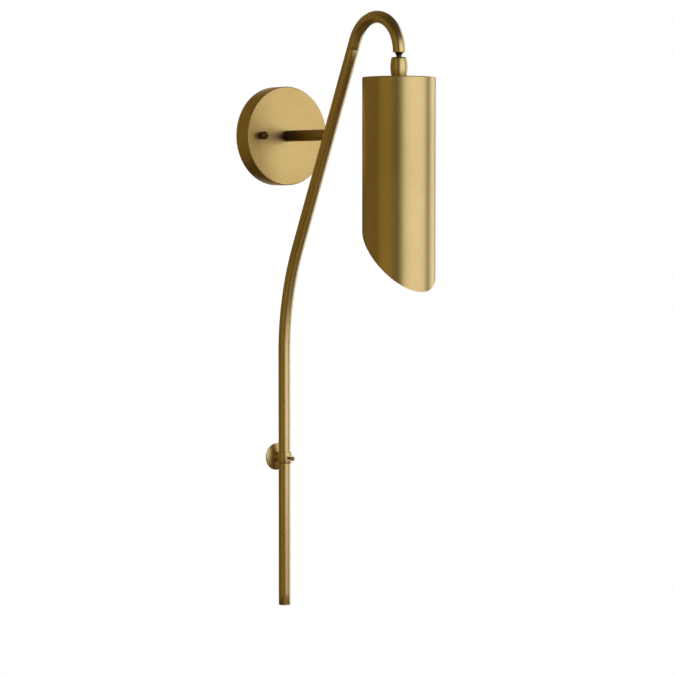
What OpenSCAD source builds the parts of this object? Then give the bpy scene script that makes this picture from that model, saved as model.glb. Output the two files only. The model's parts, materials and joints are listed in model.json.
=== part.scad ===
// Wall-mounted picture light: a round canopy carries a horizontal arm, the arm carries a long
// bent stem, and the stem ends in a gooseneck with a ball swivel and a cylindrical shade.
// The wall is the plane Y = 0, the light stands out towards -Y, and the origin is the
// centre of the canopy's rear rim.

/* [Canopy] */
// Diameter of the round canopy
canopy_d = 127; // [115:1:140]
// How far the canopy stands off the wall
canopy_depth = 25.4; // [22:0.2:32]
// Thickness of the spun brass
canopy_wall = 1.2; // [1:0.1:2]
// Distance of each mounting stud from the centre
stud_offset = 42.1; // [38:0.1:44]
// Distance of each wall box screw from the centre
box_screw_offset = 44.45; // [41:0.05:48]

/* [Tubes] */
// Outside diameter of the stem and gooseneck
tube_d = 15.2; // [14:0.1:17]
// Wall thickness of the tubes
tube_wall = 1.2; // [1:0.1:1.6]
// Outside diameter of the arm
arm_d = 14.4; // [13:0.1:15]
// Distance from the wall to the stem's centreline at the height of the arm
arm_reach = 112.1; // [100:0.1:140]
// Distance from the wall to the centreline of the straight lower stem
lower_reach = 17.5; // [16:0.5:30]
// Angle between the leaning stem and the vertical
stem_lean = 24.4; // [18:0.1:32]
// Centreline radius of the gentle bend in the stem
stem_bend_r = 330; // [200:10:400]
// Height of the stem's bottom end
stem_foot_z = -609; // [-700:1:-560]
// Centreline radius of the gooseneck
neck_bend_r = 44.4; // [40:0.1:50]
// Height of the gooseneck's open end, in the head's own frame
neck_end_z = 94.9; // [90:0.1:96]
// Length of the gooseneck's straight start, below its bend
neck_straight = 11.2; // [10:0.1:30]

/* [Shade] */
// Height of the head's own frame, in which the swivel, shade and lamp are drawn
head_z = 2.8; // [0:0.1:6]
// Distance from the wall to the shade's centreline
shade_reach = 249.9; // [240:0.1:270]
// Outside diameter of the shade
shade_d = 89.6; // [80:0.1:92]
// Thickness of the shade's sheet
shade_wall = 1.2; // [0.8:0.1:2]
// Height of the shade's flat top
shade_top_z = 64.6; // [62:0.1:66]
// Height at which the slanted cut crosses the shade's centreline
shade_cut_z = -150.7; // [-170:0.1:-110]
// Slope of the cut at the shade's open end
shade_cut_angle = 45; // [35:1:50]

/* [Swivel] */
// Height of the swivel's ball centre
ball_z = 82.5; // [81:0.1:84]
// Radius of the swivel's ball
ball_r = 6.5; // [6:0.1:6.8]
// Radius of the swivel barrel at its middle
barrel_mid_r = 10.5; // [10:0.1:12]
// Radius of the swivel barrel at its ends
barrel_end_r = 9; // [8.6:0.1:9.6]

/* [Lower support] */
// Height of the support's centre, which slides along the lower stem
support_z = -417.5; // [-540:0.5:-320]
// Diameter of the domed foot on the wall
foot_d = 35; // [30:1:44]
// Height of the collar around the stem
collar_h = 14.4; // [12:0.1:18]

/* [Hidden] */
$fn = 96;

// Finishes
brass = [0.68, 0.55, 0.27];
dark_brass = [0.35, 0.26, 0.10];
steel = [0.72, 0.73, 0.75];
zinc = [0.62, 0.64, 0.66];

// Small allowances
running = 0.05;     // radial clearance of a part that turns or slides in another
threads = 0.03;     // radial clearance between a thread and its nut or tapped hole
cut = 1;            // how far a cutter runs past the face it cuts

// Tubes
tube_r = tube_d / 2;
tube_bore_r = tube_r - tube_wall;
arm_r = arm_d / 2;
arm_bore_r = arm_r - tube_wall;
insert_gap = 0.1;   // radial gap around an insert that is soldered into a tube
lap = 0.3;          // how far a straight length runs into the bend that it joins
hair = 0.03;        // how much fatter it is there, so that the two make one solid

// Stem route in the plane X = 0, as [Y, Z]
lean_dir = [-sin(stem_lean), cos(stem_lean)];
lean_normal = [cos(stem_lean), sin(stem_lean)];
arm_joint = [-arm_reach, 0];
bend_tangent = stem_bend_r * tan(stem_lean / 2);
lower_corner = [-lower_reach, -(arm_reach - lower_reach) / tan(stem_lean)];
bend_low = lower_corner - [0, bend_tangent];
bend_high = lower_corner + bend_tangent * lean_dir;
bend_centre = bend_low - [stem_bend_r, 0];
stem_foot = [-lower_reach, stem_foot_z];
neck_centre_y = -shade_reach + neck_bend_r;
neck_offset = arm_joint * lean_normal - neck_bend_r - neck_centre_y * lean_normal[0];
neck_centre_z = neck_offset / lean_normal[1];
neck_centre = [neck_centre_y, neck_centre_z];
neck_bend_start = neck_centre + neck_bend_r * lean_normal;
seam = neck_bend_start - neck_straight * lean_dir;
seam_gap = 0.3;     // the fine line between the stem and the gooseneck
neck_end = [-shade_reach, head_z + neck_end_z];

// Canopy interior
face_y = -canopy_depth;
inner_face_y = -canopy_depth + canopy_wall;
bracket_t = 2;
ground_z = -24;
ground_r = 2;
stud_r = 2.08;
nipple_r = 5;
nipple_bore_r = 3.5;
locknut_t = 4;
washer_t = 1.2;
lead_r = 0.9;
lead_offset = 1.3;  // each lead's distance from the plane X = 0
lead_turn_y = -11.5;
connector_z = 20;

// Swivel heights
barrel_low_z = shade_top_z + 0.3;
barrel_high_z = 88.9;
socket_sphere_r = ball_r + running;
barrel_bore_r = 7.1;
mouth_r = 5.6;
mouth_low_z = ball_z + sqrt(socket_sphere_r ^ 2 - mouth_r ^ 2);
mouth_top_r = 8;
seat_low_z = 73.5;
seat_top_z = 79.7;
seat_bore_r = 2.6;
plug_top_z = 71.5;
stud_neck_r = 3.25;
stud_shank_r = 4;
wire_way_r = 1.7;

// Socket and lamp heights
socket_cap_top_z = 57;
socket_cap_low_z = 46;
socket_low_z = 6;
shell_low_z = 8;
shell_r = 14.5;     // the lampholder's screw shell
shell_t = 0.8;
contact_z = 37.6;   // underside of the contact tongue
tip_low_z = 35.1;
lamp_tip_z = 36.4;
lamp_cap_low_z = 11;
lamp_sphere_z = -38;
lamp_sphere_r = 30;
lamp_neck_r = 13.4;
lamp_wall = 0.8;

// Lower support
collar_bore_r = tube_r + hair + 0.08;
collar_r = 8.7;     // at its ends
collar_bulge = 0.4; // how much wider it is at its middle
collar_shift = 0.7; // the collar is thicker in front, where the screw is tapped
collar_centre_y = -lower_reach - collar_shift;
post_r = 6.2;
foot_edge_t = 1.4;
foot_dome_h = 2.4;
foot_seat_h = foot_edge_t + foot_dome_h - 0.35; // flat in the dome's middle, under the post
post_hole_r = 1.65; // tapping size of the wall dowel screw
post_hole_depth = 8;
screw_r = 1.45;
screw_l = 10.2;
knob_r = 2.8;
knob_y = -lower_reach - 17.9;

// ---------------------------------------------------------------- helpers

// Turns a child's +Z to point out of the wall, along -Y
module outward() { rotate([90, 0, 0]) children(); }

// Stands a child in the head's frame, on the shade's centreline
module on_shade_axis() { translate([0, -shade_reach, head_z]) children(); }

// A ring section of outer radius r and bore b
module ring2d(r, b) {
    difference() {
        circle(r = r);
        if (b > 0) circle(r = b);
    }
}

// The point a lap's length past q on the line from p
function past(p, q) = q + lap * (q - p) / norm(q - p);

// A straight round bar or tube between two [Y, Z] points, moved sideways in X
module straight_run(p, q, r, b = 0, side = 0) {
    run = q - p;
    translate([side, p[0], p[1]])
        rotate([atan2(-run[0], run[1]), 0, 0])
            linear_extrude(height = norm(run)) ring2d(r, b);
}

// A straight run that joins a bend at q, and at p too if both is true
module joined_run(p, q, r, b = 0, side = 0, both = false) {
    start = both ? past(q, p) : p;
    straight_run(start, past(p, q), r + hair, b > 0 ? b - hair : 0, side);
}

// A round bar or tube bent about a [Y, Z] centre; angles turn from +Y towards +Z
module bent_run(centre, bend_r, from, to, r, b = 0, side = 0) {
    translate([side, centre[0], centre[1]])
        rotate([90, 0, 90]) rotate([0, 0, from])
            rotate_extrude(angle = to - from) translate([bend_r, 0]) ring2d(r, b);
}

// A flat ring lying between two heights
module flat_ring(r, b, low, high) {
    translate([0, 0, low]) linear_extrude(height = high - low) ring2d(r, b);
}

// A hexagonal nut with a round bore, between two heights
module hex_nut(across_flats, b, low, high) {
    translate([0, 0, low])
        difference() {
            cylinder(r = across_flats / sqrt(3), h = high - low, $fn = 6);
            translate([0, 0, -cut]) cylinder(r = b, h = high - low + 2 * cut, $fn = 64);
        }
}

// ---------------------------------------------------------------- canopy group

module slot2d(width, length) {
    straight = length - width;
    square([width, straight], center = true);
    for (end = [-1, 1]) translate([0, end * straight / 2]) circle(d = width);
}

// Cross-shaped plate against the wall box, slotted for the box screws
module mounting_bracket() {
    color(zinc)
        outward()
            linear_extrude(height = bracket_t)
                difference() {
                    union() {
                        square([20, 108], center = true);
                        square([94, 20], center = true);
                    }
                    circle(r = 6.5);
                    for (end = [-1, 1]) {
                        translate([0, end * box_screw_offset]) slot2d(4.8, 9);
                        translate([end * stud_offset, 0]) circle(r = stud_r + threads);
                    }
                    translate([0, ground_z]) circle(r = ground_r + threads);
                }
}

// Two threaded studs that stand in the bracket and carry the canopy
module bracket_studs() {
    color(steel)
        for (side = [-1, 1])
            translate([side * stud_offset, 0, 0])
                outward() {
                    translate([0, 0, 0.2]) cylinder(r = stud_r, h = canopy_depth + 5.8);
                    flat_ring(4, stud_r, bracket_t, bracket_t + 2.4);
                }
}

// Ground screw with a slotted cheese head
module ground_screw() {
    color([0.25, 0.45, 0.25])
        translate([0, 0, ground_z])
            outward()
                difference() {
                    union() {
                        translate([0, 0, 0.2]) cylinder(r = ground_r, h = bracket_t + 1);
                        translate([0, 0, bracket_t]) cylinder(r = 3.8, h = 2.4);
                    }
                    translate([-5, -0.5, bracket_t + 1.4]) cube([10, 1, 2]);
                }
}

// Two twist-on connectors inside the canopy
module wire_connectors() {
    color([0.85, 0.45, 0.15])
        for (side = [-1, 1])
            translate([side * lead_offset, lead_turn_y, 0])
                rotate([side > 0 ? 0 : 180, 0, 0])
                    translate([0, 0, connector_z])
                        difference() {
                            rotate_extrude()
                                polygon([[0, 0], [5.2, 0], [5.2, 5], [3, 17], [2, 18.5], [0, 18.5]]);
                            translate([0, 0, -cut]) cylinder(r = lead_r + 0.1, h = 8 + cut);
                        }
}

// Pair of insulated leads: connectors, arm, up the stem and round the gooseneck
module supply_leads() {
    turn_r = 6;
    inner_y = lead_turn_y - turn_r;
    lead_end_z = connector_z + 6;
    lead_last_angle = 169;  // where the leads end in the gooseneck's bend
    corner_r = 8;
    corner_tangent = corner_r * tan((90 - stem_lean) / 2);
    corner_start = [-arm_reach + corner_tangent, 0];
    corner_end = arm_joint + corner_tangent * lean_dir;
    corner_centre = corner_start + [0, corner_r];
    // inside the canopy one lead turns up and the other down
    color([0.9, 0.9, 0.88])
        for (side = [-1, 1]) {
            x = side * lead_offset;
            turn_from = side > 0 ? -90 : 0;
            union() {
                joined_run([lead_turn_y, side * lead_end_z], [lead_turn_y, side * turn_r], lead_r, 0, x);
                bent_run([inner_y, side * turn_r], turn_r, turn_from, turn_from + 90, lead_r, 0, x);
                joined_run([inner_y, 0], corner_start, lead_r, 0, x, true);
                bent_run(corner_centre, corner_r, 180 + stem_lean, 270, lead_r, 0, x);
                joined_run(corner_end, neck_bend_start, lead_r, 0, x, true);
                bent_run(neck_centre, neck_bend_r, stem_lean, lead_last_angle, lead_r, 0, x);
            }
        }
}

// Spun cup that covers the wall box
module canopy() {
    edge_r = 1.2;
    color(brass)
        outward()
            difference() {
                rotate_extrude()
                    difference() {
                        union() {
                            square([canopy_d / 2, canopy_depth - edge_r]);
                            square([canopy_d / 2 - edge_r, canopy_depth]);
                            translate([canopy_d / 2 - edge_r, canopy_depth - edge_r])
                                circle(r = edge_r);
                        }
                        translate([-cut, -cut])
                            square([canopy_d / 2 - canopy_wall + cut, canopy_depth - canopy_wall + cut]);
                    }
                translate([0, 0, canopy_depth / 2]) cylinder(r = nipple_r + 0.1, h = canopy_depth);
                for (side = [-1, 1])
                    translate([side * stud_offset, 0, canopy_depth / 2])
                        cylinder(r = stud_r + 0.25, h = canopy_depth);
            }
}

// Knurled cap nut that clamps the canopy onto one stud
module cap_nut(side) {
    color(dark_brass)
        translate([side * stud_offset, face_y - 0.1, 0])
            outward()
                difference() {
                    rotate_extrude()
                        intersection() {
                            union() {
                                square([3.4, 3]);
                                translate([0, 2]) square([5, 8]);
                            }
                            translate([0, -1.2]) circle(r = 11.2);
                        }
                    translate([0, 0, -cut]) cylinder(r = stud_r + running, h = 7 + cut);
                }
}

module canopy_nut_left() { cap_nut(-1); }

module canopy_nut_right() { cap_nut(1); }

// ---------------------------------------------------------------- arm group

// Arm, coped to fit the leaning stem
module arm_tube() {
    cope = 40;      // half the length of the cutter that shapes the arm's end
    color(brass)
        difference() {
            translate([0, face_y, 0])
                outward() linear_extrude(height = arm_reach - canopy_depth) ring2d(arm_r, arm_bore_r);
            straight_run(arm_joint - cope * lean_dir, arm_joint + cope * lean_dir, tube_r + hair + 0.01);
        }
}

// Threaded insert soldered into the arm's root
module arm_end_plug() {
    color(brass)
        outward() flat_ring(arm_bore_r - insert_gap, nipple_r + threads, canopy_depth, canopy_depth + 14);
}

// Hollow threaded nipple that holds the arm to the canopy and lets the leads through
module arm_nipple() {
    color(steel)
        outward() flat_ring(nipple_r, nipple_bore_r, 18, canopy_depth + 12);
}

module arm_lock_washer() {
    color(steel)
        outward()
            flat_ring(8.5, nipple_r + 0.1, -inner_face_y - washer_t, -inner_face_y);
}

module arm_locknut() {
    color(steel)
        outward()
            hex_nut(14, nipple_r + threads, 18.6, -inner_face_y - washer_t);
}

// ---------------------------------------------------------------- stem group

// Long stem: straight below, gently bent, then leaning out to the seam
module stem_tube() {
    color(brass)
        difference() {
            union() {
                joined_run(stem_foot, bend_low, tube_r, tube_bore_r);
                bent_run(bend_centre, stem_bend_r, 0, stem_lean, tube_r, tube_bore_r);
                joined_run(seam, bend_high, tube_r, tube_bore_r);
            }
            // wire hole behind the arm
            translate([0, -arm_reach + tube_r + 4, 0]) outward() cylinder(r = 4.5, h = tube_r + 4);
        }
}

// Closing cap pressed into the stem's bottom end
module stem_end_cap() {
    color(brass)
        translate([0, -lower_reach, stem_foot_z])
            union() {
                translate([0, 0, -1.5]) cylinder(r = tube_r, h = 1.5);
                cylinder(r = tube_bore_r - insert_gap, h = 7);
            }
}

// Sleeve inside the seam between stem and gooseneck
module stem_coupler() {
    color(brass)
        straight_run(seam - 14 * lean_dir, seam + 12 * lean_dir, tube_bore_r - insert_gap, 4.2);
}

// Gooseneck: short straight start, U-bend and short drop
module gooseneck_tube() {
    color(brass)
        union() {
            joined_run(seam + seam_gap * lean_dir, neck_bend_start, tube_r, tube_bore_r);
            bent_run(neck_centre, neck_bend_r, stem_lean, 180, tube_r, tube_bore_r);
            joined_run(neck_end, [-shade_reach, neck_centre_z], tube_r, tube_bore_r);
        }
}

// Insert in the gooseneck's end that carries the swivel stud
module gooseneck_bushing() {
    color(dark_brass)
        on_shade_axis()
            flat_ring(tube_bore_r - 0.3, stud_shank_r + running, neck_end_z, neck_end_z + 6);
}

// ---------------------------------------------------------------- swivel group

// Hollow stud: shank, flared collar, neck and ball
module swivel_stud() {
    collar_top_z = neck_end_z - 0.2;
    cone_low_z = 91;
    color(dark_brass)
        on_shade_axis()
            difference() {
                union() {
                    translate([0, 0, ball_z]) sphere(r = ball_r);
                    translate([0, 0, ball_z]) cylinder(r = stud_neck_r, h = cone_low_z - ball_z);
                    translate([0, 0, cone_low_z])
                        cylinder(r1 = stud_neck_r, r2 = 5.3, h = collar_top_z - cone_low_z);
                    translate([0, 0, collar_top_z])
                        cylinder(r = stud_shank_r, h = neck_end_z + 8 - collar_top_z);
                }
                translate([0, 0, ball_z - 10]) cylinder(r = wire_way_r, h = 40);
            }
}

// Clip that keeps the stud in its bushing
module stud_clip() {
    color(steel)
        on_shade_axis()
            flat_ring(5.2, stud_shank_r + 0.02, neck_end_z + 6.1, neck_end_z + 7.1);
}

// Barrel-shaped housing around the ball
module swivel_barrel() {
    half_h = (barrel_high_z - barrel_low_z) / 2;
    swell = barrel_mid_r - barrel_end_r;
    swell_r = (half_h ^ 2 + swell ^ 2) / (2 * swell);
    chamfer = 0.8;
    color(brass)
        on_shade_axis()
            rotate_extrude()
                difference() {
                    intersection() {
                        translate([0, barrel_low_z]) square([barrel_mid_r, 2 * half_h]);
                        translate([barrel_mid_r - swell_r, barrel_low_z + half_h])
                            circle(r = swell_r, $fn = 360);
                        polygon([
                            [0, barrel_low_z], [barrel_end_r - chamfer / 2, barrel_low_z],
                            [barrel_mid_r + 2, barrel_low_z + half_h],
                            [barrel_end_r + 0.2, barrel_high_z - chamfer],
                            [barrel_end_r - chamfer, barrel_high_z], [0, barrel_high_z]
                        ]);
                    }
                    translate([-cut, barrel_low_z - cut])
                        square([barrel_bore_r + cut, ball_z - barrel_low_z + cut]);
                    translate([0, ball_z]) circle(r = socket_sphere_r);
                    polygon([
                        [-cut, ball_z], [mouth_r, ball_z], [mouth_r, mouth_low_z],
                        [mouth_top_r, barrel_high_z + 0.001], [mouth_top_r, barrel_high_z + cut],
                        [-cut, barrel_high_z + cut]
                    ]);
                }
}

// Cup that the ball bears on from below
module ball_seat() {
    color([0.93, 0.93, 0.9])
        on_shade_axis()
            rotate_extrude()
                difference() {
                    translate([seat_bore_r, seat_low_z])
                        square([barrel_bore_r - running - seat_bore_r, seat_top_z - seat_low_z]);
                    translate([0, ball_z]) circle(r = socket_sphere_r);
                }
}

// Cupped spring washer that presses the seat against the ball
module seat_spring() {
    inner_r = 3.2;
    outer_r = 6.9;
    sheet = 0.8;
    rise = 1;       // how much higher its inner edge is
    color(steel)
        on_shade_axis()
            rotate_extrude()
                polygon([
                    [inner_r, plug_top_z + 0.1 + rise], [outer_r, plug_top_z + 0.1],
                    [outer_r, plug_top_z + 0.1 + sheet], [inner_r, plug_top_z + 0.1 + rise + sheet]
                ]);
}

// Threaded plug that closes the barrel and takes the shade's nipple
module barrel_plug() {
    color(brass)
        on_shade_axis()
            flat_ring(barrel_bore_r - running, nipple_r + running, barrel_low_z, plug_top_z);
}

// ---------------------------------------------------------------- shade group

// Spun cylinder with a flat top and an open end cut on the slant
module shade_shell() {
    edge_r = 1.2;
    shell_r = shade_d / 2;
    low_z = shade_cut_z - shell_r * tan(shade_cut_angle) - 4;
    cutter = 200;   // larger than the shade's open end
    color(brass)
        on_shade_axis()
            difference() {
                rotate_extrude()
                    difference() {
                        union() {
                            translate([0, low_z]) square([shell_r, shade_top_z - edge_r - low_z]);
                            translate([0, low_z]) square([shell_r - edge_r, shade_top_z - low_z]);
                            translate([shell_r - edge_r, shade_top_z - edge_r]) circle(r = edge_r);
                        }
                        translate([-cut, low_z - cut])
                            square([shell_r - shade_wall + cut, shade_top_z - shade_wall - low_z + cut]);
                    }
                translate([0, 0, shade_top_z - shade_wall - cut])
                    cylinder(r = nipple_r + 0.1, h = shade_wall + 2 * cut);
                translate([0, 0, shade_cut_z])
                    rotate([shade_cut_angle, 0, 0])
                        translate([-cutter / 2, -cutter / 2, -cutter]) cube(cutter);
            }
}

module shade_nipple() {
    color(steel)
        on_shade_axis() flat_ring(nipple_r, nipple_bore_r, 54, 71);
}

module shade_washer() {
    color(steel)
        on_shade_axis()
            flat_ring(10, nipple_r + 0.1, shade_top_z - shade_wall - washer_t, shade_top_z - shade_wall);
}

module shade_locknut() {
    color(steel)
        on_shade_axis()
            hex_nut(14, nipple_r + threads, shade_top_z - shade_wall - washer_t - locknut_t,
                shade_top_z - shade_wall - washer_t);
}

// Metal cap that hangs the lampholder from the nipple
module socket_cap() {
    color(steel)
        on_shade_axis()
            rotate_extrude()
                polygon([
                    [nipple_r + threads, socket_cap_top_z], [15, socket_cap_top_z],
                    [18, socket_cap_top_z - 3], [18, socket_cap_low_z], [16.8, socket_cap_low_z],
                    [16.8, socket_cap_top_z - 3.4], [14.5, socket_cap_top_z - 1.6],
                    [nipple_r + threads, socket_cap_top_z - 1.6]
                ]);
}

// Ceramic lampholder body
module socket_body() {
    color([0.95, 0.94, 0.9])
        on_shade_axis()
            difference() {
                rotate_extrude()
                    polygon([
                        [0, socket_cap_low_z], [18, socket_cap_low_z], [19, socket_cap_low_z - 2],
                        [19, 20], [18, 18], [18, socket_low_z + 1], [17, socket_low_z], [0, socket_low_z]
                    ]);
                translate([0, 0, socket_low_z - cut]) cylinder(r = shell_r + 0.1, h = 33 + cut);
                for (side = [-1, 1])
                    translate([side * 8, 0, 38]) cylinder(r = 1.4, h = 12);
            }
}

// Screw shell inside the lampholder
module socket_shell() {
    color(brass)
        on_shade_axis()
            flat_ring(shell_r, shell_r - shell_t, shell_low_z, contact_z + 0.4);
}

// Centre contact tongue with its rivet
module socket_contact() {
    color(brass)
        on_shade_axis()
            union() {
                translate([-2.5, -5, contact_z]) cube([5, 12, 0.6]);
                translate([0, 5.5, contact_z]) cylinder(r = 1.6, h = 1.4);
                translate([0, 0, contact_z - 0.9]) cylinder(r = 2, h = 1.2);
            }
}

// Leads from the swivel down the nipple to the lampholder
module socket_leads() {
    turn_r = 3;
    near_x = 1.5;   // in the nipple
    far_x = 8;      // in the lampholder's holes
    upper_z = 53;   // where the first turn starts
    level_z = upper_z - turn_r;
    lower_z = level_z - turn_r;
    end_z = 40;
    color([0.9, 0.9, 0.88])
        on_shade_axis()
            for (side = [0, 180])
                rotate([0, 0, side]) {
                    translate([near_x, 0, upper_z]) cylinder(r = lead_r, h = 17.5);
                    translate([near_x + turn_r, 0, upper_z])
                        rotate([90, 0, 0]) rotate([0, 0, 180])
                            rotate_extrude(angle = 90) translate([turn_r, 0]) circle(r = lead_r);
                    translate([near_x + turn_r, 0, level_z])
                        rotate([0, 90, 0]) cylinder(r = lead_r, h = far_x - near_x - 2 * turn_r);
                    translate([far_x - turn_r, 0, lower_z])
                        rotate([90, 0, 0])
                            rotate_extrude(angle = 90) translate([turn_r, 0]) circle(r = lead_r);
                    translate([far_x, 0, end_z]) cylinder(r = lead_r, h = lower_z - end_z);
                }
}

// ---------------------------------------------------------------- lamp

// Centre contact of the lamp
module bulb_tip() {
    color(steel)
        on_shade_axis()
            translate([0, 0, tip_low_z]) cylinder(r1 = 4.6, r2 = 3.4, h = lamp_tip_z - tip_low_z);
}

// Screw cap of the lamp
module bulb_cap() {
    color(steel)
        on_shade_axis()
            rotate_extrude()
                difference() {
                    polygon([
                        [0, lamp_cap_low_z], [13.2, lamp_cap_low_z], [13.2, 31], [7, 35], [0, 35]
                    ]);
                    polygon([
                        [-cut, lamp_cap_low_z - cut], [lamp_neck_r - 0.8, lamp_cap_low_z - cut],
                        [lamp_neck_r - 0.8, 30], [6.6, 34.2], [-cut, 34.2]
                    ]);
                }
}

// Outline of the lamp envelope, drawn inset by its wall thickness or by nothing
module envelope2d(inset) {
    touch = 40;     // latitude at which the cone towards the neck leaves the sphere
    top_z = lamp_cap_low_z - 0.2 + 5 * inset;
    r = lamp_sphere_r - inset;
    neck = lamp_neck_r - inset;
    run = (r * cos(touch) - neck) / sin(touch);
    neck_z = lamp_sphere_z + r * sin(touch) + run * cos(touch);
    intersection() {
        union() {
            translate([0, lamp_sphere_z]) circle(r = r);
            polygon([
                [0, lamp_sphere_z], [r * cos(touch), lamp_sphere_z + r * sin(touch)],
                [neck, neck_z], [neck, top_z], [0, top_z]
            ]);
        }
        translate([0, -100]) square([60, 200]);
    }
}

module bulb_glass() {
    color([0.96, 0.96, 0.94])
        on_shade_axis()
            rotate_extrude()
                difference() {
                    envelope2d(0);
                    envelope2d(lamp_wall);
                }
}

// Glass post with four light strips inside the envelope
module bulb_filament() {
    color([0.95, 0.85, 0.5])
        on_shade_axis()
            union() {
                translate([0, 0, -54]) cylinder(r = 1.6, h = 64);
                translate([0, 0, 8]) cylinder(r = lamp_neck_r - lamp_wall - 0.1, h = 2.6);
                for (level = [-56, -22]) translate([0, 0, level]) cylinder(r = 8.2, h = 2);
                for (turn = [0 : 90 : 270])
                    rotate([0, 0, turn]) translate([6.6, 0, -55]) cylinder(r = 1.1, h = 34);
            }
}

// ---------------------------------------------------------------- lower support

// Shallow domed foot with a blind threaded hole for the wall dowel screw
module foot_rosette() {
    foot_r = foot_d / 2;
    dome_r = (foot_r ^ 2 + foot_dome_h ^ 2) / (2 * foot_dome_h);
    color(brass)
        translate([0, 0, support_z])
            outward()
                rotate_extrude()
                    difference() {
                        intersection() {
                            square([foot_r, foot_seat_h]);
                            translate([0, foot_edge_t + foot_dome_h - dome_r])
                                circle(r = dome_r, $fn = 720);
                        }
                        translate([-cut, -cut]) square([2.6 + cut, 20]);
                    }
}

// Post between foot and collar, drilled and tapped from the wall side
module foot_post() {
    color(brass)
        difference() {
            translate([0, 0, support_z])
                outward()
                    difference() {
                        union() {
                            translate([0, 0, foot_seat_h])
                                cylinder(r = post_r, h = lower_reach - foot_seat_h);
                            translate([0, 0, 0.4]) cylinder(r = 2.5, h = foot_seat_h);
                        }
                        translate([0, 0, -cut]) cylinder(r = post_hole_r, h = post_hole_depth + cut);
                    }
            collar_blank();
        }
}

// The collar before it is bored
module collar_blank() {
    half_h = collar_h / 2;
    bulge_r = (half_h ^ 2 + collar_bulge ^ 2) / (2 * collar_bulge);
    translate([0, collar_centre_y, support_z])
        rotate_extrude()
            intersection() {
                translate([0, -half_h]) square([collar_r + collar_bulge, collar_h]);
                translate([collar_r + collar_bulge - bulge_r, 0]) circle(r = bulge_r, $fn = 360);
            }
}

// Collar that slides on the stem, thicker in front where the screw is tapped
module stem_collar() {
    color(brass)
        difference() {
            collar_blank();
            translate([0, -lower_reach, support_z - collar_h])
                cylinder(r = collar_bore_r, h = 2 * collar_h);
            translate([0, -lower_reach, support_z])
                outward() cylinder(r = screw_r + running, h = 20);
        }
}

// Threaded shank that presses on the stem
module thumb_screw() {
    color(dark_brass)
        translate([0, -lower_reach - tube_r - 0.15, support_z])
            outward() cylinder(r = screw_r, h = screw_l);
}

// Ball knob on the screw
module thumb_knob() {
    color(brass)
        translate([0, knob_y, support_z])
            outward()
                difference() {
                    sphere(r = knob_r);
                    translate([0, 0, -5]) cylinder(r = screw_r + running, h = 5.6);
                }
}

mounting_bracket();
bracket_studs();
ground_screw();
wire_connectors();
supply_leads();
canopy();
canopy_nut_left();
canopy_nut_right();
arm_tube();
arm_end_plug();
arm_nipple();
arm_lock_washer();
arm_locknut();
stem_tube();
stem_end_cap();
stem_coupler();
gooseneck_tube();
gooseneck_bushing();
swivel_stud();
stud_clip();
swivel_barrel();
ball_seat();
seat_spring();
barrel_plug();
shade_shell();
shade_nipple();
shade_washer();
shade_locknut();
socket_cap();
socket_body();
socket_shell();
socket_contact();
socket_leads();
bulb_tip();
bulb_cap();
bulb_glass();
bulb_filament();
foot_rosette();
foot_post();
stem_collar();
thumb_screw();
thumb_knob();
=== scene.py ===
"""Looks of the brass picture light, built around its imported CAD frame."""

import json
import math

import bmesh
import bpy
from mathutils import Euler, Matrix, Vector


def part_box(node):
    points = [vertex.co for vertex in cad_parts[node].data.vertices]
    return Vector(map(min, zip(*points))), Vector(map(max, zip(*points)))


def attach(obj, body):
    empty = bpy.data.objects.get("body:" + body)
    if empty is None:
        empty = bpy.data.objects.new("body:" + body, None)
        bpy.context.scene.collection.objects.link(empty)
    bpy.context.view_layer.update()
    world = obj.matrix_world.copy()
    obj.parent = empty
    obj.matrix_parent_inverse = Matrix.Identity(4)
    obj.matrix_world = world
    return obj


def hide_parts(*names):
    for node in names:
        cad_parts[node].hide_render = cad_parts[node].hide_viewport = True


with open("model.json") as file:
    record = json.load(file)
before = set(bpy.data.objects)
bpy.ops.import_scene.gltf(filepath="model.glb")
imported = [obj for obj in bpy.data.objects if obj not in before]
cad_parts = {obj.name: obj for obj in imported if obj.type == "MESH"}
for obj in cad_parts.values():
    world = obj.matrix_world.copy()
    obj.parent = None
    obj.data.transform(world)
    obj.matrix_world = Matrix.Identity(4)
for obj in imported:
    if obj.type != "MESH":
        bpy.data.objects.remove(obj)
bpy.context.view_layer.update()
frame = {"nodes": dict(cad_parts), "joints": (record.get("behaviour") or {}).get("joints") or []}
JOINTS = {j["name"]: j for j in frame["joints"]}

# ---------------------------------------------------------------- driving sizes, in millimetres

MM = 0.001
UP = Vector((0, 0, 1))
DOWN = Vector((0, 0, -1))
OUT = Vector((0, -1, 0))           # out of the wall


def box(node):
    """The corners of a CAD node, in millimetres."""
    low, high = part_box(node)
    return low / MM, high / MM


def head_box(node):
    """The corners of a CAD node of the head, with heights in the head's own frame."""
    low, high = box(node)
    return low - UP * HEAD_Z, high - UP * HEAD_Z


def half_width(node):
    """Half the width of a CAD node along X, in millimetres."""
    low, high = box(node)
    return (high.x - low.x) / 2


LEAN = math.radians(24.4)          # the stem's lean from the vertical
TUBE_R = 7.6
TUBE_WALL = 1.2
STEM_BEND_R = 330
NECK_BEND_R = 44.4
NECK_STRAIGHT = 11.2               # from the seam to the start of the gooseneck's bend
ARM_REACH = 112.1
SHADE_Y = JOINTS["barrel_tilt"]["pos_m"][1] / MM
BALL = 82.5                        # height of the swivel's ball in the head's own frame
BALL_R = 6.5
CAVITY_R = 6.55                    # the barrel's hollow over the ball
HEAD_Z = JOINTS["barrel_tilt"]["pos_m"][2] / MM - BALL
SUPPORT_Z = (box("stem_collar")[0].z + box("stem_collar")[1].z) / 2
LOWER_Y = box("stem_end_cap")[0].y + half_width("stem_end_cap")
STUD_X = (box("canopy_nut_right")[0].x + box("canopy_nut_right")[1].x) / 2
SHADE_AXIS = Vector((0, SHADE_Y, HEAD_Z))

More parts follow.
